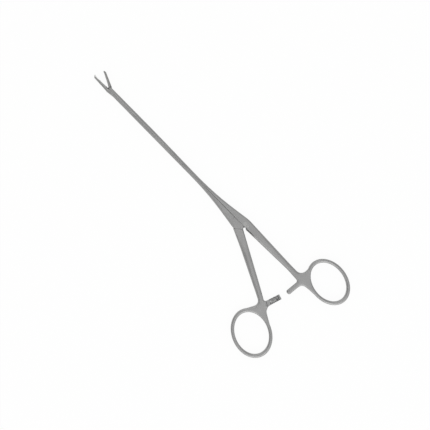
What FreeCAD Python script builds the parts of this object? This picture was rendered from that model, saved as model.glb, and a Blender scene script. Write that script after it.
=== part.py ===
import FreeCAD, Part
import math
import os

# Meniscus grasper: a ring-handled surgical grasper with two shaft bars that slide on each other.
# Origin: the foot of the handle pivot, on the surface that the instrument lies on.
# +X runs along the shaft to the jaws, +Y points to the moving handle, +Z is up. Millimetres.
# The pieces stand in the fully open position.

# Overall
body_height = 5.0            # thickness of the joint
slim_height = 4.0            # thickness of the shaft, the shanks' ends and the rings
mid_height = body_height / 2
edge_round = 1.0             # rounding of the forged outer edges
running_gap = 0.04           # clearance between sliding flat faces
pin_clearance = 0.03         # radial clearance of a pin in a moving piece

# Shaft
seam_y = 1.8                 # the plane where the two bars meet
seam_bevel = 0.25            # bevel along both sides of the seam
bevel_spare = 0.3            # how far the bevel cutters stand out
bar_width = 1.72             # width of each bar at the jaws, away from the seam
taper_start_x = 2.0          # where the thick joint begins to taper
taper_start_y = -3.43
taper_bend = 220.0           # radius of the concave run-out of the taper
waist_x = 29.1               # end of the fixed bar's taper
waist_y = 0.64
waist_end_x = 85.0           # end of the fixed bar's slim stretch
waist_end_y = -0.02
waist_bend = 600.0
slide_taper = 0.142          # slope of the sliding half's outer edge

# Opening motion
close_angle = 16.0           # how far the moving handle turns to close
jaw_angle = 26.5             # how far the upper jaw stands open
drive_arm = 3.27             # height of the handle drive pin above the handle pivot
stroke = 2 * drive_arm * math.tan(math.radians(close_angle / 2))
jaw_arm = stroke / 2 / math.tan(math.radians(jaw_angle / 2))

# Pins
pivot_radius = 1.25
drive_pin_radius = 0.75
jaw_pin_radius = 0.55
jaw_drive_radius = 0.5
drive_pin_x = stroke / 2     # the pin starts half a stroke ahead of the pivot
drive_pin_y = drive_arm
cap_thickness = 0.7          # metal left over the blind drive pin hole

# Jaw hinge, placed on the sliding shaft
hinge_x = 127.5
hinge_y = 2.9
jaw_drive_x = hinge_x - stroke / 2
jaw_drive_y = hinge_y - jaw_arm
fork_start_x = 125.0
fork_end_x = 129.4
fork_width = 1.7
jaw_tang_height = 1.6
cheek_bulge_y = 4.2
lower_jaw_length = 12.9      # hinge to tip
upper_jaw_length = 12.7
jaw_gap = 0.05               # between the tooth crests of the closed jaws
jaw_tip_height = 2.7
bite_bevel = 0.5             # bevel along the teeth of the lower jaw

# Teeth
tooth_pitch = 0.85
tooth_depth = 0.32
tooth_start = 2.7            # first tooth, from the hinge
tooth_count = 10

# Fixed body and its slot for the tang of the moving handle
slot_height = 2.0
tang_height = 1.9
cutter_radius = 12.0
cutter_y = 9.7
lip_start_x = -9.0
lip_y = 2.0
boss_radius = 2.1
eye_radius = 1.35
nose_radius = drive_arm - seam_y - running_gap    # rear end of the sliding shaft
stop_angle = 40.5            # slope of the sliding shaft's rear stop face
stop_gap = 0.12
joint_top_y = 7.66           # outer corner of the sliding half

# Handles, each drawn with its shank along -X and its ring on the -Y side
lever_angle = 27.0           # direction of the moving handle when open
ring_band = 2.3              # width of a ring's band at its sides
ring_end_band = 2.6          # and at its long ends

# Ratchet
ratchet_radius = 53.6
ratchet_split = 0.1          # space between the facing tooth crests
ratchet_pitch = 1.0
ratchet_depth = 0.45
ratchet_teeth = 7

# Guide studs between the bars
stud_neck_radius = 0.5
stud_head_radius = 0.95
stud_head_height = 0.5
stud_root_depth = 0.9
stud_lift = 0.65             # seam to the underside of the head
slot_clearance = 0.08
keyhole_offset = 3.0
rear_stud_x = 24.0
middle_stud_x = 72.0
front_stud_x = 118.0

far = 400.0                  # beyond everything, for cutters
pivot_x = 0.0
pivot_y = 0.0
step_x = -3.2                # behind the sliding shaft's travel
step_y = 2.45
pin_top = mid_height + slim_height / 2 - 0.4
tang_slot_end = 3.5
tang_slot_depth = 2.2        # depth of the slot behind the stop face
fixed_ring = (-66.3, -12.45)
fixed_ring_half = (14.2, 10.3)
fixed_ring_tilt = -7.0
moving_ring = (-70.4, -17.76)
moving_ring_half = (14.4, 11.0)
moving_ring_tilt = -5.0
fixed_flare = 4.5
moving_flare = 3.5
fixed_arm_reach = 12.3       # of the arms' tips, from the line through the pivot
moving_arm_reach = 7.75
fixed_arm_root = 1.75        # beyond this the arms are only half as thick
moving_arm_root = -2.5
fixed_arm = [(-51.57, 1.78, 1.4), (-50.67, fixed_arm_reach - 0.15, 1.3),
             (-53.95, fixed_arm_reach + 0.15, 1.3), (-54.9, 1.2, 4.0)]
moving_arm = [(-53.24, -3.56, 1.5), (-51.45, moving_arm_reach - 0.3, 0),
              (-54.95, moving_arm_reach + 0.3, 0), (-57.25, -4.1, 5.0)]
arm_end_x = -46.0            # both arms lie behind this
stud_places = (rear_stud_x, middle_stud_x, front_stud_x)


def vec(x, y, z=0.0):
    return FreeCAD.Vector(x, y, z)


def outline(corners):
    """Closed wire through corners (x, y, radius); a radius above 0 rounds that corner."""
    count = len(corners)
    stretches = []
    for i in range(count):
        x, y, radius = corners[i]
        here = vec(x, y)
        back = (vec(*corners[i - 1][:2]) - here).normalize()
        ahead = (vec(*corners[(i + 1) % count][:2]) - here).normalize()
        half = back.getAngle(ahead) / 2
        if radius <= 0:
            stretches.append((here, here, here))
            continue
        setback = radius / math.tan(half)
        middle = (back + ahead).normalize() * (radius / math.sin(half) - radius)
        stretches.append((here + back * setback, here + middle, here + ahead * setback))
    edges = []
    for i in range(count):
        start, middle, end = stretches[i]
        if (start - end).Length > 1e-6:
            edges.append(Part.Arc(start, middle, end).toShape())
        following = stretches[(i + 1) % count][0]
        if (following - end).Length > 1e-6:
            edges.append(Part.LineSegment(end, following).toShape())
    return Part.Wire(edges)


def plate(corners, low=-far, high=far):
    """Solid of the plan outline between two heights."""
    face = Part.Face(outline(corners))
    face.translate(vec(0, 0, low))
    return face.extrude(vec(0, 0, high - low))


def height_curves():
    """Top and bottom of the instrument: thick joint, slim shanks and shaft, slender jaws."""
    slim = slim_height / 2
    tip = jaw_tip_height / 2
    stations = [(-120, slim), (-70, slim), (-48, slim), (-30, (slim + mid_height) / 2 + 0.05),
                (-14, mid_height), (-4, mid_height), (8, mid_height), (18, mid_height),
                (30, (slim + mid_height) / 2 - 0.05), (44, slim), (70, slim), (118, slim),
                (hinge_x - 2, slim), (hinge_x + 5, (slim + tip) / 2),
                (hinge_x + lower_jaw_length, tip), (hinge_x + lower_jaw_length + 4, tip)]
    sides = []
    for sign in (1, -1):
        curve = Part.BSplineCurve()
        curve.buildFromPoles([vec(x, mid_height + sign * half) for x, half in stations], False, 3)
        sides.append(curve.toShape())
    return sides


def height_envelope():
    sides = height_curves()
    ends = [Part.makeLine(sides[0].valueAt(sides[0].LastParameter),
                          sides[1].valueAt(sides[1].LastParameter)),
            Part.makeLine(sides[0].valueAt(sides[0].FirstParameter),
                          sides[1].valueAt(sides[1].FirstParameter))]
    face = Part.Face(Part.Wire([sides[0], ends[0], sides[1], ends[1]]))
    solid = face.extrude(vec(0, 0, 2 * far))
    solid.translate(vec(0, 0, -far))
    solid.rotate(vec(0, 0, 0), vec(1, 0, 0), 90)
    return solid


def box(x0, x1, y0, y1, z0=-far, z1=far):
    return Part.makeBox(x1 - x0, y1 - y0, z1 - z0, vec(x0, y0, z0))


def rod(x, y, radius, low=-far, high=far):
    return Part.makeCylinder(radius, high - low, vec(x, y, low), vec(0, 0, 1))


def oblong(x, y, radius, length, direction):
    """Round-ended slot cutter, centred on x, y; its straight part runs along direction."""
    half = vec(*direction).normalize() * (length / 2)
    first = rod(x + half.x, y + half.y, radius)
    second = rod(x - half.x, y - half.y, radius)
    bar = box(x - length / 2, x + length / 2, y - radius, y + radius)
    bar.rotate(vec(x, y), vec(0, 0, 1), math.degrees(math.atan2(half.y, half.x)))
    return first.fuse([second, bar]).removeSplitter()


def faces_up(face):
    """True for a face that looks mostly up or down."""
    u0, u1, v0, v1 = face.ParameterRange
    return abs(face.normalAt((u0 + u1) / 2, (v0 + v1) / 2).z) > 0.9


def rim_edges(solid, keep):
    """Edges between an up or down facing face and a side face, where keep(point) is true."""
    found = []
    for edge in solid.Edges:
        faces = solid.ancestorsOfType(edge, Part.Face)
        if len(faces) != 2 or faces_up(faces[0]) == faces_up(faces[1]):
            continue
        if keep(edge.valueAt((edge.FirstParameter + edge.LastParameter) / 2)):
            found.append(edge)
    return found


def soften(solid, radius, keep):
    return solid.makeFillet(radius, rim_edges(solid, keep))


def ellipse_plate(centre, long_half, short_half, tilt):
    face = Part.Face(Part.Wire(Part.Ellipse(vec(0, 0), long_half, short_half).toShape()))
    solid = face.extrude(vec(0, 0, 2 * far))
    solid.translate(vec(centre[0], centre[1], -far))
    solid.rotate(vec(*centre), vec(0, 0, 1), tilt)
    return solid


def handle_blank(shank, ring_centre, ring_half, tilt, keep):
    """Shank and finger ring in one plate with rounded edges; shank is the shank's plan."""
    long_half, short_half = ring_half
    outer = ellipse_plate(ring_centre, long_half + ring_end_band, short_half + ring_band, tilt)
    inner = ellipse_plate(ring_centre, long_half, short_half, tilt)
    blank = plate(shank).fuse(outer).removeSplitter()
    blank = blank.common(height_envelope()).cut(inner)
    return soften(blank, edge_round, keep)


def tooth_notches(arm, crest, side):
    """Cutters for an arm's ratchet teeth, set round the pivot from its tip back."""
    front, rear = arm[1], arm[2]
    middle_x = (front[0] + rear[0]) / 2
    tip_angle = math.atan2((front[1] + rear[1]) / 2, -middle_x)
    x0 = -ratchet_radius - 5
    notches = []
    for i in range(ratchet_teeth):
        angle = math.degrees(tip_angle - (i + 1.6) * ratchet_pitch / ratchet_radius)
        notch = Part.Face(Part.makePolygon([
            vec(x0, 0, crest), vec(x0, ratchet_pitch, crest),
            vec(x0, 0, crest + side * ratchet_depth), vec(x0, 0, crest)]))
        notches.append(turned(notch.extrude(vec(10, 0, 0)), -angle))
    return notches


def bevel_cutters(y, metal, width, x0, x1):
    """Cutters for the top and bottom edges along a face at y; metal is the side it lies on."""
    reach = width + 2 * bevel_spare
    cutters = []
    for edge, up in zip(height_curves(), (1, -1)):
        start = edge.valueAt(edge.FirstParameter)
        corner = vec(start.x, y - metal * bevel_spare, start.z + up * bevel_spare)
        profile = Part.makePolygon([corner, corner + vec(0, metal * reach, 0),
                                    corner - vec(0, 0, up * reach), corner])
        sweep = Part.Wire(edge).makePipeShell([profile], True, False)
        cutters.append(sweep.common(box(x0, x1, -far, far)))
    return cutters


def drop_line(x0, y0, slope, level):
    """Where a line from x0, y0 meets a level in Y."""
    return x0 + (level - y0) / slope


def fixed_blank():
    """The fixed forging before its slots and holes are cut."""
    tip_x = jaw_drive_x + bar_width / 2
    shank = [(-60, -13.5, 0), (-50.65, -13.5, 0), (-50.65, -2.45, fixed_flare),
             (-40, -2.45, 150), (-1, -3.67, 20), (taper_start_x, taper_start_y, 15),
             (waist_x, waist_y, taper_bend), (waist_end_x, waist_end_y, waist_bend),
             (tip_x, jaw_drive_y - bar_width / 2, 0), (tip_x, 8, 0), (step_x, 8, 0),
             (step_x, step_y, 1.5), (-42, 1.26, 30)]
    shank += fixed_arm + [(-60.5, 0.5, 8), (-67, 0.1, 0)]
    return handle_blank(shank, fixed_ring, fixed_ring_half, fixed_ring_tilt,
                        lambda p: p.x < tip_x - 0.1 and (p.y < 7.9 or p.x < arm_end_x))


def seam_cutter():
    """Removes what stands above the seam, with a sloped step behind the sliding shaft."""
    return plate([(step_x - 4, step_y, 0), (step_x, step_y, 0), (step_x + 1, seam_y, 0),
                  (far, seam_y, 0), (far, 60, 0), (step_x - 4, 60, 0)])


def key_rod(x, radius, start, end):
    """Cylinder along Y at mid height."""
    return Part.makeCylinder(radius, end - start, vec(x, start, mid_height), vec(0, 1, 0))


def fork_cutter():
    half = fork_width / 2
    return box(fork_start_x, fork_end_x, -far, far, mid_height - half, mid_height + half)


def fixed_handle(blank):
    body = blank.cut(seam_cutter())
    for cutter in bevel_cutters(seam_y, -1, seam_bevel, step_x + 1, far):
        body = body.cut(cutter)
    half = slot_height / 2
    body = body.cut(rod(pivot_x, cutter_y, cutter_radius, mid_height - half, mid_height + half))
    body = body.cut(box(lip_start_x, step_x + 1, lip_y, 8, mid_height - half, body_height))
    tip = box(jaw_drive_x, far, -far, far).cut(rod(jaw_drive_x, jaw_drive_y, bar_width / 2))
    body = body.cut(fork_cutter()).cut(tip)
    crest = mid_height + ratchet_split / 2
    body = body.cut(box(-far, arm_end_x, fixed_arm_root, far, -far, crest))
    for notch in tooth_notches(fixed_arm, crest, 1):
        body = body.cut(notch)
    body = body.cut(rod(pivot_x, pivot_y, pivot_radius))
    body = body.cut(rod(jaw_drive_x, jaw_drive_y, jaw_drive_radius, -far, pin_top))
    for x in stud_places:
        body = body.cut(key_rod(x, stud_neck_radius, seam_y - stud_root_depth, seam_y))
    return body.removeSplitter()


def slide_outline(grow, high_y):
    """Plan of the sliding shaft's rear, grown by a clearance for cutting its neighbour."""
    radius = nose_radius + grow
    slope = math.radians(stop_angle)
    low = drive_pin_y - radius
    corner_x = drive_pin_x - radius / math.tan(slope / 2)
    high_x = corner_x + (high_y - low) / math.tan(slope)
    return [(corner_x, low, radius), (high_x, high_y, 0)]


def slide_blank():
    """The sliding forging; its rounded outer edge is made first and then cut by the stop face."""
    bar_top = seam_y + bar_width
    nose, stop_top = slide_outline(0, joint_top_y)
    start_x = nose[0] - 2
    start_y = joint_top_y + (stop_top[0] - start_x) * slide_taper
    bend_x = drop_line(start_x, start_y, -slide_taper, bar_top)
    tip_x = hinge_x + lower_jaw_length
    plan = [(start_x, nose[1], 0), (tip_x + 0.4, nose[1], 0), (tip_x - 0.5, 3.6, 1.3),
            (hinge_x + 2.6, 4.0, 6), (hinge_x - 0.4, cheek_bulge_y, 3),
            (hinge_x - 5.5, bar_top, 8), (bend_x, bar_top, taper_bend), (start_x, start_y, 0)]
    blank = plate(plan).common(height_envelope())
    blank = soften(blank, edge_round, lambda p: p.y > nose[1] + 0.3 and p.x > start_x + 0.1)
    nose, beyond = slide_outline(0, 2 * joint_top_y)
    return blank.common(plate([nose, (far, nose[1], 0), (far, beyond[1], 0), beyond]))


def tee_slot(x):
    """T-slot with a keyhole for the head of a guide stud, cut from the seam."""
    neck = stud_neck_radius + slot_clearance
    head = stud_head_radius + slot_clearance
    start = x - keyhole_offset
    end = x + stroke + slot_clearance
    low = seam_y + stud_lift - slot_clearance
    high = seam_y + stud_lift + stud_head_height + slot_clearance
    slot = box(start, end, seam_y - 1, low, mid_height - neck, mid_height + neck)
    pocket = box(start, end, low, high, mid_height - head, mid_height + head)
    return slot.fuse([pocket, key_rod(end, neck, seam_y - 1, low), key_rod(end, head, low, high),
                      key_rod(start, head, seam_y - 1, high)])


def tooth_row(base_y, side, first_x):
    """Notches across a jaw's biting face; side says which way they go in."""
    notches = []
    for i in range(tooth_count):
        x = first_x + i * tooth_pitch
        notch = plate([(x, base_y - side * 0.01, 0), (x + tooth_pitch, base_y - side * 0.01, 0),
                       (x + tooth_pitch * 0.65, base_y + side * tooth_depth, 0)])
        notches.append(notch)
    return notches


def sliding_shaft(blank):
    nose, stop_top = slide_outline(0, joint_top_y)
    body = blank
    jaw_x = hinge_x + 1.6
    for cutter in (bevel_cutters(nose[1], 1, seam_bevel, drive_pin_x, jaw_x)
                   + bevel_cutters(nose[1], 1, bite_bevel, jaw_x, far)):
        body = body.cut(cutter)
    half = slot_height / 2
    back = tang_slot_depth / math.sin(math.radians(stop_angle))
    bend_y = nose[1] + (tang_slot_end - back - nose[0]) * math.tan(math.radians(stop_angle))
    body = body.cut(plate([(-10, -10, 0), (tang_slot_end, -10, 0), (tang_slot_end, bend_y, 0),
                           (stop_top[0] + back, stop_top[1], 0), (stop_top[0] + back, 20, 0),
                           (-10, 20, 0)], mid_height - half, mid_height + half))
    body = body.cut(fork_cutter())
    body = body.cut(rod(drive_pin_x, drive_pin_y, drive_pin_radius, -far,
                        body_height - cap_thickness))
    body = body.cut(rod(hinge_x, hinge_y, jaw_pin_radius))
    for x in stud_places:
        body = body.cut(tee_slot(x))
    for notch in tooth_row(nose[1], 1, hinge_x + tooth_start):
        body = body.cut(notch)
    return body.removeSplitter()


def turned(solid, angle, x=0.0, y=0.0):
    solid.rotate(vec(x, y), vec(0, 0, 1), angle)
    return solid


def moving_handle():
    shank = [(-62, -18, 0), (-53.68, -18, 0), (-53.68, -7.1, moving_flare), (-47, -7.1, 40),
             (-15.2, -7.83, 80), (1.5, -8.74, 0), (-1.6, -2.45, 0), (-12.5, -2.59, 80),
             (-46.5, -3.23, 60)]
    shank += moving_arm + [(-70, -4.6, 0)]
    lever = handle_blank(shank, moving_ring, moving_ring_half, moving_ring_tilt,
                         lambda p: (p.x < -1.7 or p.y < -7.5) and p.y < moving_arm_reach - 0.4)
    crest = mid_height - ratchet_split / 2
    lever = lever.cut(box(-far, arm_end_x, moving_arm_root, far, crest, far))
    for notch in tooth_notches(moving_arm, crest, -1):
        lever = lever.cut(notch)
    lever = lever.mirror(vec(0, 0), vec(0, 1, 0))
    lever = turned(lever, -lever_angle)
    nose, stop_top = slide_outline(stop_gap, joint_top_y + 2)
    lever = lever.cut(plate([nose, (far, nose[1], 0), (far, stop_top[1], 0), stop_top]))
    low = mid_height - tang_height / 2
    high = mid_height + tang_height / 2
    eye_x = drive_pin_x
    tang = rod(pivot_x, pivot_y, boss_radius, low, high)
    tang = tang.fuse(rod(eye_x, drive_pin_y, eye_radius, low, high))
    tang = tang.fuse(plate([(-1.95, 0.6, 0), (-0.95, 3.1, 0), (-2.2, 3.95, 0), (-4.2, 5.0, 0),
                            (-2.0, 6.8, 0), (2.6, 7.9, 0), (4.6, 6.9, 0), (1.9, 4.0, 0),
                            (2.05, 0.3, 0)], low, high))
    tang = tang.cut(rod(pivot_x, pivot_y, pivot_radius + pin_clearance))
    lever = lever.fuse(tang)
    lever = lever.cut(oblong(drive_pin_x, drive_pin_y, drive_pin_radius + pin_clearance, 0.1,
                             (drive_pin_x, drive_pin_y)).common(box(-9, 9, -9, 9, low, high)))
    return lever.removeSplitter()


def upper_jaw():
    """Drawn closed, round its hinge, then swung open."""
    crest = drive_pin_y - nose_radius - jaw_gap - hinge_y
    plan = [(1.5, -3.12, 0), (upper_jaw_length - 0.9, -2.53, 1.1),
            (upper_jaw_length, -1.9, 0), (upper_jaw_length, crest, 0), (1.5, crest, 0)]
    blade = plate([(hinge_x + x, hinge_y + y, r) for x, y, r in plan])
    blade = blade.common(height_envelope())
    blade = soften(blade, 0.8, lambda p: p.y < hinge_y - 1.8 and p.x > hinge_x + 1.6)
    for notch in tooth_row(hinge_y + crest, -1, hinge_x + tooth_start + tooth_pitch / 2):
        blade = blade.cut(notch)
    low = mid_height - jaw_tang_height / 2
    high = mid_height + jaw_tang_height / 2
    slot_x = hinge_x + stroke / 2
    slot_y = hinge_y - jaw_arm
    tang = rod(hinge_x, hinge_y, 1.15, low, high)
    tang = tang.fuse(rod(slot_x, slot_y, 1.05, low, high))
    neck = [(-1.1, -0.3, 0), (stroke / 2 - 1.0, -jaw_arm, 0), (stroke / 2, -jaw_arm - 1.05, 0),
            (2.0, -3.05, 0), (2.0, crest - 0.1, 0), (1.0, -0.5, 0)]
    tang = tang.fuse(plate([(hinge_x + x, hinge_y + y, r) for x, y, r in neck], low, high))
    jaw = blade.fuse(tang)
    jaw = jaw.cut(rod(hinge_x, hinge_y, jaw_pin_radius + pin_clearance))
    jaw = jaw.cut(oblong(slot_x, slot_y, jaw_drive_radius + pin_clearance, 0.1,
                         (stroke / 2, -jaw_arm)))
    return turned(jaw.removeSplitter(), -jaw_angle, hinge_x, hinge_y)


def guide_stud(x):
    root = key_rod(x, stud_neck_radius, seam_y - stud_root_depth, seam_y + stud_lift)
    head = key_rod(x, stud_head_radius, seam_y + stud_lift,
                   seam_y + stud_lift + stud_head_height)
    return root.fuse(head).removeSplitter()


def save(name, shape):
    shape.exportStep("parts/" + name + ".step")
    print(name, "solids", len(shape.Solids), "faces", len(shape.Faces), "valid", shape.isValid(),
          "volume", round(shape.Volume, 2))


def main():
    os.makedirs("parts", exist_ok=True)
    fixed = fixed_blank()
    slide = slide_blank()
    save("fixed_handle", fixed_handle(fixed))
    save("sliding_shaft", sliding_shaft(slide))
    save("moving_handle", moving_handle())
    save("upper_jaw", upper_jaw())
    save("handle_pivot_pin", rod(pivot_x, pivot_y, pivot_radius, 0, body_height))
    save("handle_drive_pin", rod(drive_pin_x, drive_pin_y, drive_pin_radius, 0,
                                 body_height - cap_thickness))
    save("jaw_pivot_pin", rod(hinge_x, hinge_y, jaw_pin_radius).common(slide))
    save("jaw_drive_pin", rod(jaw_drive_x, jaw_drive_y, jaw_drive_radius, -far,
                              pin_top).common(fixed))
    save("rear_guide_stud", guide_stud(rear_stud_x))
    save("middle_guide_stud", guide_stud(middle_stud_x))
    save("front_guide_stud", guide_stud(front_stud_x))


main()
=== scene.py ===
# %% [markdown]
# A meniscus grasper in satin stainless steel
#
# The instrument is a ring-handled grasper for work inside a knee. Two slim bars lie side by side
# from the handles to the tip: one is forged in one piece with the fixed handle, and the other
# slides on it and turns the upper jaw. It lies fully open on a white table, seen from straight
# above. The imported model gives the forms of the steel, so this lesson is about what gives the
# steel its looks: the soft crown of the forged shanks, the fine bevels, the blasted satin skin,
# the brushing, the worn edges, the painted shade in the joints and on the upper jaw, the painted
# highlight on the ground bite, and the light it is seen in.

# %% load the frame
import math

import bmesh
import bpy
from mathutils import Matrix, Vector


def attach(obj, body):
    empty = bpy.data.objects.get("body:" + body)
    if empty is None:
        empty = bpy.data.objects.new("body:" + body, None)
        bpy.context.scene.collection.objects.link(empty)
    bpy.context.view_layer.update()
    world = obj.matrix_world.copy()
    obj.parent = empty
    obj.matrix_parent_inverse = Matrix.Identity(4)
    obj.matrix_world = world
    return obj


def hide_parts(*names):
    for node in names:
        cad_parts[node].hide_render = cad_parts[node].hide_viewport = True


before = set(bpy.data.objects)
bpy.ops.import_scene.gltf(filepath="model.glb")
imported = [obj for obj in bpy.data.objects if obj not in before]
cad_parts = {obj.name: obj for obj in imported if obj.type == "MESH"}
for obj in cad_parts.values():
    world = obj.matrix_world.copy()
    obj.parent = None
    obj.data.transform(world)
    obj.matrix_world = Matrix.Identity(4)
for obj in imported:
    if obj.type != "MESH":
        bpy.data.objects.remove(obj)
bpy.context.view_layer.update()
MM = 0.001
print("nodes:", ", ".join(sorted(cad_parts)))

# %% [markdown]
# The camera
#
# The photograph was taken from straight above with a long lens: the rings show no side walls and
# the shaft does not narrow towards the tip by perspective. So the camera looks straight down
# through a 100 mm lens. Its height follows from how much of the table the picture takes in, and
# its turn from the slant of the shaft.

# %% camera
PICTURE_WIDTH = 285.95 * MM
LENS = 100.0  # mm
SENSOR = 36.0  # mm
AIM = Vector((18.34 * MM, 10.21 * MM, 2.5 * MM))  # under the camera, at half the thickness
SHAFT_SLANT = math.radians(45.53)

camera_data = bpy.data.cameras.new("overhead_camera")
camera_data.lens = LENS
camera_data.sensor_width = SENSOR
camera = bpy.data.objects.new("overhead_camera", camera_data)
camera.location = AIM + Vector((0, 0, PICTURE_WIDTH * LENS / SENSOR))
camera.rotation_euler = (0, 0, SHAFT_SLANT - math.pi)
bpy.context.scene.collection.objects.link(camera)
bpy.context.scene.camera = camera
print("camera height in mm:", round(camera.location.z / MM, 1))

# %% [markdown]
# Colours and nodes
#
# Colours are read off a colour picker as hex values, which are sRGB, while shaders reckon in
# linear light. One function turns the one into the other. A second adds any node with its
# settings, and links whatever is handed to it as the output of another node.

# %% helpers for materials


def linear(hex_colour):
    """The linear RGBA of an sRGB hex colour such as "#A4A4A2"."""
    channels = [int(hex_colour[i:i + 2], 16) / 255 for i in (1, 3, 5)]
    return (*[c / 12.92 if c <= 0.04045 else ((c + 0.055) / 1.055) ** 2.4 for c in channels], 1.0)


def add_node(tree, kind, inputs=None, **settings):
    """Adds a node. settings are its own values, inputs are values or other nodes' outputs."""
    node = tree.nodes.new(kind)
    for name, value in settings.items():
        setattr(node, name, value)
    for socket, value in (inputs or {}).items():
        if isinstance(value, bpy.types.NodeSocket):
            tree.links.new(value, node.inputs[socket])
        else:
            node.inputs[socket].default_value = value
    return node


print("mid grey:", [round(c, 3) for c in linear("#A4A4A2")])

# %% [markdown]
# Satin stainless steel
#
# Surgical instruments are forged from martensitic stainless steel and then blasted with glass
# beads and brushed, so that they do not dazzle under the theatre lamp. To the eye that is a soft
# grey metal: no sharp reflection anywhere, a fine dull sparkle, faint streaks along each shank
# where the brush ran, and edges that handling and cleaning have rubbed a little brighter. The
# joints hold shade, and here that shade is painted into the colour. The streaks and the mottle
# come from noise in the piece's own coordinates, the worn edges from the angle between the true
# surface and a rounded copy of it, and the painted shade in the joints, the seam and between the
# teeth from how closed in a point is.

# %% satin steel
MOTTLE = 9.0  # mm, one soft patch of lighter or darker skin
BEAD = 0.45  # mm, one dimple of the blasting, ten times coarser than a real one so that it shows
BRUSH_MARK = (14.0, 0.55)  # mm, the length and width of a brush mark
STREAK_SPAN = (0.3, 0.7)  # the part of the streak noise that drives the roughness
WORN_EDGE = 0.35  # mm, how far a rubbed edge reaches in
WORN_TURN = (0.99, 0.86)  # cosines of the turn at which the wear begins and is full
WEAR = 0.55  # how rubbed an edge is at most
WORN_SMOOTHER = -0.12  # what full wear takes off the roughness
# Painted shade in the colour of the steel: its reach and its levels in the joints, the seam and the
# teeth.
PAINTED_JOINT_SHADE = 1.4  # mm, how far a joint's shade reaches out
JOINT_OPEN = (0.15, 0.75, 0.30)  # openness at which it is darkest, at which it ends, and its level
PAINTED_SEAM_SHADE = 0.6  # mm, the same for the seam and the teeth
SEAM_OPEN = (0.50, 0.90, 0.60)  # the same three for the seam and the teeth
EDGE_SAMPLES, SHADE_SAMPLES = 6, 8
STREAK_HEIGHT = 1.6  # the height of the streaks beside the dimples
RELIEF_DEPTH = 0.012  # mm
RELIEF_STRENGTH = 0.35
MIX_FACTOR, MIX_A, MIX_B, MIX_RESULT = 0, 6, 7, 2  # the colour sockets of a Mix node


def painted_shade_of(tree, reach, openness):
    """Painted shade: a darkening for the colour within a reach in mm of whatever closes a point in.
    """
    darkest, ends, level = openness
    closed = add_node(
        tree, "ShaderNodeAmbientOcclusion", {"Distance": reach * MM}, samples=SHADE_SAMPLES
    )
    return add_node(
        tree, "ShaderNodeMapRange",
        {
            "Value": closed.outputs["AO"],
            "From Min": darkest, "From Max": ends, "To Min": level, "To Max": 1.0,
        },
    ).outputs[0]


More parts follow.
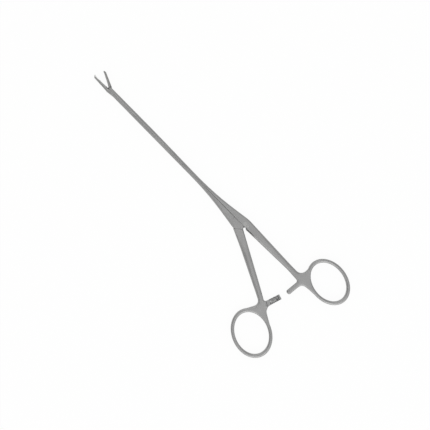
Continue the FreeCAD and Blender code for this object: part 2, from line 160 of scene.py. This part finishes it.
def satin_steel(name, tones, rough, turn=0.0, streak=BRUSH_MARK, wear=WEAR):
    """Blasted and brushed steel, with the brushing turned by an angle in degrees round Z.

    tones are the dark, light and rubbed colours, rough the least and most roughness, and streak
    the length and width of a brush mark in mm.
    """
    material = bpy.data.materials.new(name)
    material.use_nodes = True
    tree = material.node_tree
    shader = tree.nodes["Principled BSDF"]
    place = add_node(tree, "ShaderNodeTexCoord").outputs["Object"]

    turned = add_node(
        tree, "ShaderNodeMapping", {"Vector": place, "Rotation": (0, 0, -math.radians(turn))}
    )
    length, width = streak
    marks = (1 / (length * MM), 1 / (width * MM), 1 / (width * MM))
    stretched = add_node(
        tree, "ShaderNodeMapping", {"Vector": turned.outputs[0], "Scale": marks}
    )
    streaks = add_node(
        tree, "ShaderNodeTexNoise", {"Vector": stretched.outputs[0], "Scale": 1.0, "Detail": 3.0}
    )
    mottle = add_node(
        tree, "ShaderNodeTexNoise", {"Vector": place, "Scale": 1 / (MOTTLE * MM), "Detail": 4.0}
    )
    blast = add_node(
        tree, "ShaderNodeTexNoise", {"Vector": place, "Scale": 1 / (BEAD * MM), "Detail": 2.0}
    )

    # Worn edges: where the rounded normal leaves the true one, broken up by the mottle.
    surface = add_node(tree, "ShaderNodeNewGeometry")
    rounded = add_node(
        tree, "ShaderNodeBevel", {"Radius": WORN_EDGE * MM}, samples=EDGE_SAMPLES
    )
    agreement = add_node(
        tree, "ShaderNodeVectorMath", {0: rounded.outputs[0], 1: surface.outputs["Normal"]},
        operation="DOT_PRODUCT",
    )
    begins, full = WORN_TURN
    edge = add_node(
        tree, "ShaderNodeMapRange",
        {
            "Value": agreement.outputs["Value"],
            "From Min": begins, "From Max": full, "To Min": 0.0, "To Max": wear,
        },
    )
    patchy = add_node(
        tree, "ShaderNodeMath", {0: edge.outputs[0], 1: mottle.outputs["Fac"]},
        operation="MULTIPLY",
    )

    # Painted shade, multiplied into the colour: darker in the joints, and darker still in the seam
    # and between the teeth.
    joint = painted_shade_of(tree, PAINTED_JOINT_SHADE, JOINT_OPEN)
    painted_seam_shade = painted_shade_of(tree, PAINTED_SEAM_SHADE, SEAM_OPEN)
    shade = add_node(tree, "ShaderNodeMath", {0: joint, 1: painted_seam_shade}, operation="MULTIPLY")

    dark, light, rubbed = [linear(tone) for tone in tones]
    skin = add_node(
        tree, "ShaderNodeMix", {MIX_FACTOR: mottle.outputs["Fac"], MIX_A: dark, MIX_B: light},
        data_type="RGBA",
    )
    worn = add_node(
        tree, "ShaderNodeMix",
        {MIX_FACTOR: patchy.outputs[0], MIX_A: skin.outputs[MIX_RESULT], MIX_B: rubbed},
        data_type="RGBA",
    )
    # The painted shade darkens the colour by multiplying it.
    shaded = add_node(
        tree, "ShaderNodeMix",
        {MIX_FACTOR: 1.0, MIX_A: worn.outputs[MIX_RESULT], MIX_B: shade.outputs[0]},
        data_type="RGBA", blend_type="MULTIPLY",
    )
    tree.links.new(shaded.outputs[MIX_RESULT], shader.inputs["Base Color"])
    shader.inputs["Metallic"].default_value = 1.0

    least, most = rough
    low, high = STREAK_SPAN
    brushed = add_node(
        tree, "ShaderNodeMapRange",
        {
            "Value": streaks.outputs["Fac"],
            "From Min": low, "From Max": high, "To Min": least, "To Max": most,
        },
    )
    smoother = add_node(
        tree, "ShaderNodeMath", {0: patchy.outputs[0], 1: WORN_SMOOTHER, 2: brushed.outputs[0]},
        operation="MULTIPLY_ADD",
    )
    tree.links.new(smoother.outputs[0], shader.inputs["Roughness"])

    height = add_node(
        tree, "ShaderNodeMath",
        {0: streaks.outputs["Fac"], 1: STREAK_HEIGHT, 2: blast.outputs["Fac"]},
        operation="MULTIPLY_ADD",
    )
    relief = add_node(
        tree, "ShaderNodeBump",
        {
            "Strength": RELIEF_STRENGTH, "Distance": RELIEF_DEPTH * MM,
            "Height": height.outputs[0],
        },
    )
    tree.links.new(relief.outputs[0], shader.inputs["Normal"])
    return material


print("brush mark in mm:", BRUSH_MARK, "bead in mm:", BEAD)

# %% [markdown]
# Slices through a mesh
#
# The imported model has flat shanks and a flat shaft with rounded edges, and its large faces have
# no points inside. To give such a face a form, it first needs points there. bisect_plane cuts a
# row of edges into the faces where a plane goes through them, and the points on that row can
# then be moved. Only the faces near the change are cut, so the rest keeps its few large faces.

# %% slices and tables
MID_HEIGHT = 2.5  # mm, half the thickness of the joint
WALL_CORE = 1.3  # mm from mid height, the share that holds the slots and keeps its shape
ALONG_BARS = Vector((1, 0, 0))
ACROSS_BARS = Vector((0, 1, 0))
ON_PLANE = 0.005  # mm, how near a point has to lie to count as on a plane


def between(rows, x):
    """Reads a table of (x, value) rows, straight between the rows and level outside them."""
    if x <= rows[0][0]:
        return rows[0][1]
    for (x0, value0), (x1, value1) in zip(rows, rows[1:]):
        if x <= x1:
            return value0 + (value1 - value0) * (x - x0) / (x1 - x0)
    return rows[-1][1]


def directions(turn):
    """Unit vectors along and across an axis turned by an angle in degrees round Z."""
    angle = math.radians(turn)
    along = Vector((math.cos(angle), math.sin(angle), 0))
    return along, Vector((-math.sin(angle), math.cos(angle), 0))


def faces_between(form, along, first, last):
    """The faces that reach into a stretch between two distances in mm along an axis."""
    return [
        face for face in form.faces
        if min(v.co.dot(along) for v in face.verts) < last * MM
        and max(v.co.dot(along) for v in face.verts) > first * MM
    ]


def slice_faces(form, faces, normal, distance):
    """Cuts faces by a plane with a normal, at a distance in mm from the origin."""
    edges = dict.fromkeys(edge for face in faces for edge in face.edges)
    points = dict.fromkeys(point for face in faces for point in face.verts)
    bmesh.ops.bisect_plane(
        form, geom=[*faces, *edges, *points], dist=1e-8,
        plane_co=normal * distance * MM, plane_no=normal,
    )


print("half way down a table:", between([(0, 1.0), (10, 3.0)], 5))

# %% [markdown]
# Crowned bars
#
# The real shanks and bars are forged between dies and polished on a belt, which leaves them
# crowned: a shank is thickest along its middle and falls off to both sides, and the two bars of
# the shaft together make a flat oval. That crown is what draws the light and dark halves along
# them. So a bar is sliced along and across, and its height is then drawn in towards mid height
# the further a point lies from the bar's middle line. Nothing is made wider or longer, the slots
# inside keep their shape, and near the joint, the ring and the jaws the crown fades.

# %% crown
SLICE_ALONG = 0.4  # mm between the slices that run along a bar
SLICE_ACROSS = 3.0  # mm between the slices across it
CROWN_REACH = 1.3  # half widths from the middle line, past which other parts of the piece lie


def crown(form, turn, middle, half_width, amount):
    """Crowns a bar of a mesh.

    The bar runs along an axis turned by an angle in degrees, with its middle line at a distance
    from the origin in mm. half_width and amount are tables over the distance along the bar: its
    half width in mm, and the share of its thickness that is gone at its sides.
    """
    along, across = directions(turn)
    first, last = amount[0][0], amount[-1][0]
    widest = max(half for _, half in half_width)
    steps = int((last - first) / SLICE_ACROSS)
    cuts = [(along, first + (last - first) * i / steps) for i in range(steps + 1)]
    steps = int(2 * widest / SLICE_ALONG)
    cuts += [(across, middle - widest + 2 * widest * i / steps) for i in range(steps + 1)]
    for normal, distance in cuts:
        slice_faces(form, faces_between(form, along, first, last), normal, distance)
    for vertex in form.verts:
        u = vertex.co.dot(along) / MM
        v = (vertex.co.dot(across) / MM - middle) / between(half_width, u)
        rise = vertex.co.z / MM - MID_HEIGHT
        if first < u < last and abs(v) < CROWN_REACH and abs(rise) > WALL_CORE:
            drawn_in = max(abs(rise) * (1 - between(amount, u) * v * v), WALL_CORE)
            vertex.co.z = (MID_HEIGHT + math.copysign(drawn_in, rise)) * MM


SHANK_CROWN = 0.20  # the share of its height that the fixed shank loses at its sides
MOVING_CROWN = 0.24  # the same for the moving shank
SHAFT_CROWN = 0.30  # and for the two bars of the shaft
SEAM = 1.82  # mm, where the two bars of the shaft meet

# Each bar: turn, middle line, half widths along it, and the crown's share along it.
fixed_shank = (
    0, -0.58, [(-44, 1.87), (-8, 2.9)],
    [(-50, 0), (-45, SHANK_CROWN), (-18, SHANK_CROWN), (-8, 0)],
)
moving_shank = (
    -27, 5.18, [(-47, 1.93), (-15, 2.6)],
    [(-52, 0), (-47, MOVING_CROWN), (-18, MOVING_CROWN), (-8, 0)],
)
SHAFT_FADE = [(14, 0), (45, SHAFT_CROWN), (118, SHAFT_CROWN), (124, 0)]
fixed_bar = (
    0, SEAM, [(15, 3.4), (25, 2.25), (31, 1.8), (40, 1.4), (60, 1.55), (85, 1.8)], SHAFT_FADE,
)
sliding_bar = (
    0, SEAM, [(15, 4.3), (25, 3.0), (31, 2.4), (40, 1.85), (50, 1.72)], SHAFT_FADE,
)
print("share gone at the sides of shanks and bars:", SHANK_CROWN, MOVING_CROWN, SHAFT_CROWN)

# %% [markdown]
# The bevelled seam
#
# Where the two bars meet, each has its edge broken by a fine bevel, and the two bevels, darkened
# further by the painted shade of the steel, make the thin dark line down the shaft. One slice
# beside the seam gives the bevel its inner side, and the edge of the wall is then moved towards
# mid height. The line fades about a third of the way along the shaft, where the edges are nearly
# sharp.

# %% seam
FIXED_WALL = 1.80  # mm, the seam wall of the fixed bar
SLIDING_WALL = 1.84  # mm, the seam wall of the sliding bar
SEAM_BEVEL = [(30, 0.16), (50, 0.02)]  # mm along X, and the bevel there in mm
SEAM_START = 1.9  # mm, where the seam comes out from under the stop face
SEAM_ZONE = 2.5  # mm to either side, the faces that the slice goes through
SEAM_EDGE = 0.4  # mm, how far down the wall a bevel may reach


def bevel_seam(form, edge, side):
    """Bevels the edges of the seam wall at edge mm; side tells on which side the metal is."""
    near = [
        face for face in form.faces
        if abs(face.calc_center_median().y / MM - edge) < SEAM_ZONE
        and face.calc_center_median().x > 0
    ]
    slice_faces(form, near, ACROSS_BARS, edge + side * SEAM_BEVEL[0][1])
    wall = [
        v for v in form.verts
        if abs(v.co.y / MM - edge) < ON_PLANE and v.co.x / MM > SEAM_START
        and abs(v.co.z / MM - MID_HEIGHT) > WALL_CORE
    ]
    half_height = {}
    for vertex in wall:
        place = round(vertex.co.x / MM)
        rise = abs(vertex.co.z / MM - MID_HEIGHT)
        half_height[place] = max(half_height.get(place, 0), rise)
    for vertex in wall:
        rise = vertex.co.z / MM - MID_HEIGHT
        share = 1 - (half_height[round(vertex.co.x / MM)] - abs(rise)) / SEAM_EDGE
        depth = between(SEAM_BEVEL, vertex.co.x / MM) * min(max(share, 0), 1)
        vertex.co.z -= math.copysign(depth, rise) * MM


print("seam bevel in mm:", between(SEAM_BEVEL, 20), "near the joint,", between(SEAM_BEVEL, 60))

# %% [markdown]
# The groove behind the joint
#
# Along its inner edge the fixed handle has a narrow groove, from behind the joint towards its
# ring, dark from its depth and from the painted shade of the steel. Four slices run along it, in
# two close pairs that become its walls, and what lies between them is let down: deepest near the
# joint, and nearly nothing at its far end.

# %% groove
GROOVE_TURN = 2.5  # degrees from the bars
GROOVE_MIDDLE = 2.0  # mm from the pivot, across the groove
GROOVE_WIDTH = 0.34  # mm
GROOVE_WALL = 0.02  # mm, how far its walls lean
GROOVE_DEPTH = [(-9.0, 0.25), (-4.0, 1.0), (-1.0, 1.4)]  # mm along X, and its depth there
GROOVE_MARGIN = 0.1  # mm past its ends in which faces are sliced
TOP_FACES = 4.0  # mm, above which lie only the top faces


def tang_groove(form):
    """The narrow dark groove along the inner edge of the fixed handle, behind the joint."""
    _, across = directions(GROOVE_TURN)
    left, right = GROOVE_MIDDLE - GROOVE_WIDTH / 2, GROOVE_MIDDLE + GROOVE_WIDTH / 2
    first, last = GROOVE_DEPTH[0][0], GROOVE_DEPTH[-1][0]
    ends = (first - GROOVE_WALL, first, (first + last) / 2, last, last + GROOVE_WALL)
    sides = (left - GROOVE_WALL, left, right, right + GROOVE_WALL)
    cuts = [(ALONG_BARS, x) for x in ends] + [(across, side) for side in sides]
    for normal, distance in cuts:
        near = faces_between(form, ALONG_BARS, first - GROOVE_MARGIN, last + GROOVE_MARGIN)
        slice_faces(form, near, normal, distance)
    for vertex in form.verts:
        x, side = vertex.co.x / MM, vertex.co.dot(across) / MM
        in_length = first - ON_PLANE < x < last + ON_PLANE
        in_width = left - ON_PLANE < side < right + ON_PLANE
        if in_length and in_width and vertex.co.z / MM > TOP_FACES:
            vertex.co.z -= between(GROOVE_DEPTH, x) * MM


print("groove in mm:", GROOVE_WIDTH, "wide and up to", GROOVE_DEPTH[-1][1], "deep")

# %% [markdown]
# The ground bite
#
# The lower jaw is ground to a thin edge along its teeth. Both its edges fall away steeply there,
# and the ground faces are much smoother than the blasted steel. They are also given near-white
# tones, a painted highlight that stands for their mirror of the white table, so that the jaw
# looks thinner than it is. One slice gives the bevels their inner side, and everything nearer to
# the teeth is let down, most of all at their tips.

# %% bite
BITE_START = 128.9  # mm, where the bevels begin
BITE_LENGTH = 20.0  # mm, more than the jaw is long
BITE_LINE = SLIDING_WALL  # mm, the tips of the teeth
BITE_BEVEL = (0.70, 1.10)  # mm wide, mm deep
BITE_CORE = 0.6  # mm from mid height, inside which nothing moves
BITE_LAND = 0.2  # mm from mid height, the least that is left of the jaw
BITE_FACING = -0.5  # how far a ground face looks towards the upper jaw


def bevel_bite(form):
    """Steep bevels along the teeth of the lower jaw."""
    width, depth = BITE_BEVEL
    near = faces_between(form, ALONG_BARS, BITE_START, BITE_START + BITE_LENGTH)
    slice_faces(form, near, ACROSS_BARS, BITE_LINE + width)
    for vertex in form.verts:
        into = (vertex.co.y / MM - BITE_LINE) / width
        rise = vertex.co.z / MM - MID_HEIGHT
        if vertex.co.x / MM > BITE_START and into < 1 and abs(rise) > BITE_CORE:
            drop = min(depth * (1 - max(into, 0)), abs(rise) - BITE_LAND)
            vertex.co.z -= math.copysign(drop, rise) * MM


def paint_bite_highlight(mesh, material):
    """Gives the faces along the bite a material of their own, near-white steel that is a painted
    highlight.
    """
    mesh.materials.append(material)
    for face in mesh.polygons:
        place = face.center / MM
        beside = place.x > BITE_START and place.y < BITE_LINE + BITE_BEVEL[0]
        if beside and face.normal.y < BITE_FACING:
            face.material_index = 1


print("bite bevel in mm:", BITE_BEVEL)

# %% [markdown]
# The three forgings
#
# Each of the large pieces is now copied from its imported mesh, given its forms and its steel, and
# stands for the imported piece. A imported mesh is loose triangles, so its double points are merged
# first. Smooth shading with sharp edges kept from 35 degrees shows the crown as one soft curve.

# %% forgings
MERGE_WITHIN = 0.0005  # mm
SHARP_FROM = math.radians(35)
FIXED_SHANK_TURN = 190.6  # degrees, which way the fixed handle was brushed
MOVING_SHANK_TURN = 138.8  # the same for the moving handle
SATIN = ("#9A9A99", "#ACACAB", "#C8C8C6")
SATIN_ROUGH = (0.34, 0.44)
# Near-white tones for the ground bite: a painted highlight, brighter than steel can be.
BITE_PAINTED_HIGHLIGHT = ("#E6E6E4", "#F0F0EE", "#F6F6F4")


def forging(name, node, body, material, bars, seam=None, details=(), bite=None):
    """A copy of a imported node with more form, which it then stands for."""
    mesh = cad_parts[node].data.copy()
    form = bmesh.new()
    form.from_mesh(mesh)
    bmesh.ops.remove_doubles(form, verts=form.verts, dist=MERGE_WITHIN * MM)
    for bar in bars:
        crown(form, *bar)
    if seam:
        bevel_seam(form, *seam)
    for detail in details:
        detail(form)
    form.to_mesh(mesh)
    form.free()
    mesh.name = name
    mesh.materials.clear()
    mesh.materials.append(material)
    if bite:
        paint_bite_highlight(mesh, bite)
    mesh.shade_smooth()
    mesh.set_sharp_from_angle(angle=SHARP_FROM)
    piece = bpy.data.objects.new(name, mesh)
    bpy.context.scene.collection.objects.link(piece)
    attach(piece, body)
    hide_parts(node)
    print(name, "faces", len(mesh.polygons))


forging(
    "fixed_handle_forging", "fixed_handle", "frame",
    satin_steel("satin_steel_fixed", SATIN, SATIN_ROUGH, turn=FIXED_SHANK_TURN),
    [fixed_shank, fixed_bar], seam=(FIXED_WALL, -1), details=[tang_groove],
)
forging(
    "moving_handle_forging", "moving_handle", "lever",
    satin_steel("satin_steel_moving", SATIN, SATIN_ROUGH, turn=MOVING_SHANK_TURN),
    [moving_shank],
)
forging(
    "sliding_shaft_forging", "sliding_shaft", "slider",
    satin_steel("satin_steel_slide", SATIN, SATIN_ROUGH),
    [sliding_bar], seam=(SLIDING_WALL, 1), details=[bevel_bite],
    # The ground bite: smoother steel in near-white tones, a painted highlight.
    bite=satin_steel(
        "ground_bite_painted_highlight", BITE_PAINTED_HIGHLIGHT, (0.18, 0.26), streak=(0.8, 0.2), wear=0.2
    ),
)

# %% [markdown]
# Jaw and pins
#
# The upper jaw is the same steel, hardened and ground, so its grain is finer, and its tones are
# a darker copy of the steel's, a painted shade over the whole jaw. The pins are turned from rod,
# riveted over and ground flush, which leaves them slightly smoother and brighter than the handles
# round them.

# %% jaw and pins
JAW_TURN = 26.5  # degrees, as far as the jaw stands open
# Darker tones for the upper jaw: painted shade.
JAW_SHADED_TONES = ("#8E8E8D", "#A0A09E", "#C4C4C2")
TURNED = ("#A6A6A4", "#B6B6B4", "#CFCFCC")


def dress(material, *nodes):
    """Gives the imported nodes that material."""
    for name in nodes:
        for material_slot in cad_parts[name].material_slots:
            material_slot.material = material
    print(material.name, "on", ", ".join(nodes))


dress(
    satin_steel("ground_jaw_painted_shade", JAW_SHADED_TONES, (0.30, 0.40), turn=JAW_TURN, streak=(4.0, 0.30)),
    "upper_jaw",
)
dress(
    satin_steel("turned_pin_steel", TURNED, (0.26, 0.34), streak=(1.2, 0.25), wear=0.8),
    "handle_pivot_pin", "handle_drive_pin", "jaw_pivot_pin", "jaw_drive_pin",
    "rear_guide_stud", "middle_guide_stud", "front_guide_stud",
)

# %% [markdown]
# The table
#
# The ground is plain white, and only a breath of shadow lies round the steel. A white sheet lit
# hard enough to turn white would also burn out the metal, so the sheet is mostly bright by
# itself where the camera or a reflection sees it, and takes the rest from the lamps, which is
# what keeps the shadow.

# %% table
TABLE_HALF = 4.0  # m
TABLE_DROP = 0.02 * MM
OWN_WHITE = 0.95

table_mesh = bpy.data.meshes.new("table")
form = bmesh.new()
bmesh.ops.create_grid(form, x_segments=1, y_segments=1, size=TABLE_HALF)
bmesh.ops.translate(form, vec=(0, 0, -TABLE_DROP), verts=form.verts)
form.to_mesh(table_mesh)
form.free()
table = bpy.data.objects.new("table", table_mesh)
bpy.context.scene.collection.objects.link(table)
print("table", 2 * TABLE_HALF, "m wide")

# %% [markdown]
# White paper
#
# Light Path tells which ray asks for the colour. A ray from the camera, a reflection or light
# through a glass gets mostly the sheet's own white, and every other ray gets plain paper.

# %% paper
paper = bpy.data.materials.new("white_paper")
paper.use_nodes = True
tree = paper.node_tree
tree.nodes.remove(tree.nodes["Principled BSDF"])
rays = add_node(tree, "ShaderNodeLightPath")
seen = add_node(
    tree, "ShaderNodeMath",
    {0: rays.outputs["Is Camera Ray"], 1: rays.outputs["Is Glossy Ray"]}, operation="MAXIMUM",
)
seen_through = add_node(
    tree, "ShaderNodeMath", {0: seen.outputs[0], 1: rays.outputs["Is Transmission Ray"]},
    operation="MAXIMUM",
)
share = add_node(
    tree, "ShaderNodeMath", {0: seen_through.outputs[0], 1: OWN_WHITE}, operation="MULTIPLY"
)
sheet = add_node(tree, "ShaderNodeBsdfDiffuse", {"Color": linear("#F6F6F4")})
glow = add_node(tree, "ShaderNodeEmission", {"Color": (1, 1, 1, 1), "Strength": 1.0})
both = add_node(
    tree, "ShaderNodeMixShader", {0: share.outputs[0], 1: sheet.outputs[0], 2: glow.outputs[0]}
)
tree.links.new(both.outputs[0], tree.nodes["Material Output"].inputs["Surface"])
table_mesh.materials.append(paper)
print(paper.name, "on the table, own white", OWN_WHITE)

# %% [markdown]
# The light tent
#
# The steel shows no lamp, only soft grey: the light came from a tent, brightest overhead. The
# world makes it as a gradient from foot to top, with one patch that is brighter and two that are
# darker, as cloth near a lamp and away from it is. A crowned bar mirrors the tent from side to
# side, so these patches are what gives each bar a light half and a dark one.

# %% tent
TENT_FOOT = 0.72
TENT_TOP = 0.97
TOP_HEIGHT = 0.9  # the height on the unit sphere where the tent is brightest
# Bearing, height and spread in degrees, and how much brighter or darker.
TENT_PATCHES = ((112, 42, 40, 0.50), (58, 56, 34, -0.80), (275, 50, 34, -0.50))


def outward(azimuth, elevation):
    """Unit vector to a compass bearing in the row frame and a height, in degrees."""
    a, e = math.radians(azimuth), math.radians(elevation)
    return Vector((math.cos(a) * math.cos(e), math.sin(a) * math.cos(e), math.sin(e)))


world = bpy.data.worlds.new("tent")
bpy.context.scene.world = world
world.use_nodes = True
tree = world.node_tree
direction = add_node(tree, "ShaderNodeTexCoord").outputs["Generated"]
height = add_node(tree, "ShaderNodeSeparateXYZ", {0: direction}).outputs["Z"]
level = add_node(
    tree, "ShaderNodeMapRange",
    {
        "Value": height,
        "From Min": 0.0, "From Max": TOP_HEIGHT, "To Min": TENT_FOOT, "To Max": TENT_TOP,
    },
    interpolation_type="SMOOTHSTEP",
).outputs[0]
for azimuth, elevation, spread, gain in TENT_PATCHES:
    towards = add_node(
        tree, "ShaderNodeVectorMath", {0: direction, 1: outward(azimuth, elevation)},
        operation="DOT_PRODUCT",
    )
    rim = math.cos(math.radians(spread))
    patch = add_node(
        tree, "ShaderNodeMapRange",
        {"Value": towards.outputs["Value"], "From Min": rim, "To Max": gain},
        interpolation_type="SMOOTHSTEP",
    )
    level = add_node(
        tree, "ShaderNodeMath", {0: level, 1: patch.outputs[0]}, operation="ADD"
    ).outputs[0]
level = add_node(tree, "ShaderNodeMath", {0: level, 1: 0.0}, operation="MAXIMUM").outputs[0]
tree.links.new(level, tree.nodes["Background"].inputs["Strength"])
tree.nodes["Background"].inputs["Color"].default_value = linear("#FEFEFF")
print("tent from", TENT_FOOT, "to", TENT_TOP, "with", len(TENT_PATCHES), "patches")

# %% [markdown]
# Soft boxes
#
# Two wide soft boxes stand outside the tent. The one at the ring end gives the rings their soft
# bright rims, and the weaker one behind the tip fills the other side.

# %% soft boxes


def soft_box(name, azimuth, elevation, distance, size, power):
    """A square soft box that looks at the instrument from a bearing and a height in degrees."""
    light = bpy.data.lights.new(name, "AREA")
    light.size = size
    light.energy = power
    bearing = outward(azimuth, elevation)
    lamp = bpy.data.objects.new(name, light)
    lamp.location = AIM + bearing * distance
    lamp.rotation_euler = bearing.to_track_quat("Z", "Y").to_euler()
    bpy.context.scene.collection.objects.link(lamp)
    print(name, "at", [round(c, 2) for c in lamp.location])


# Bearing and height in degrees, distance and size in m, power in W.
soft_box("soft_box_ring_side", azimuth=147, elevation=38, distance=1.2, size=0.9, power=2.5)
soft_box("soft_box_tip_side", azimuth=-40, elevation=55, distance=1.4, size=0.8, power=1.1)

# %% [markdown]
# The last line
#
# The colours are shown through the Standard view transform.

# %% finish
bpy.context.scene.view_settings.view_transform = "Standard"
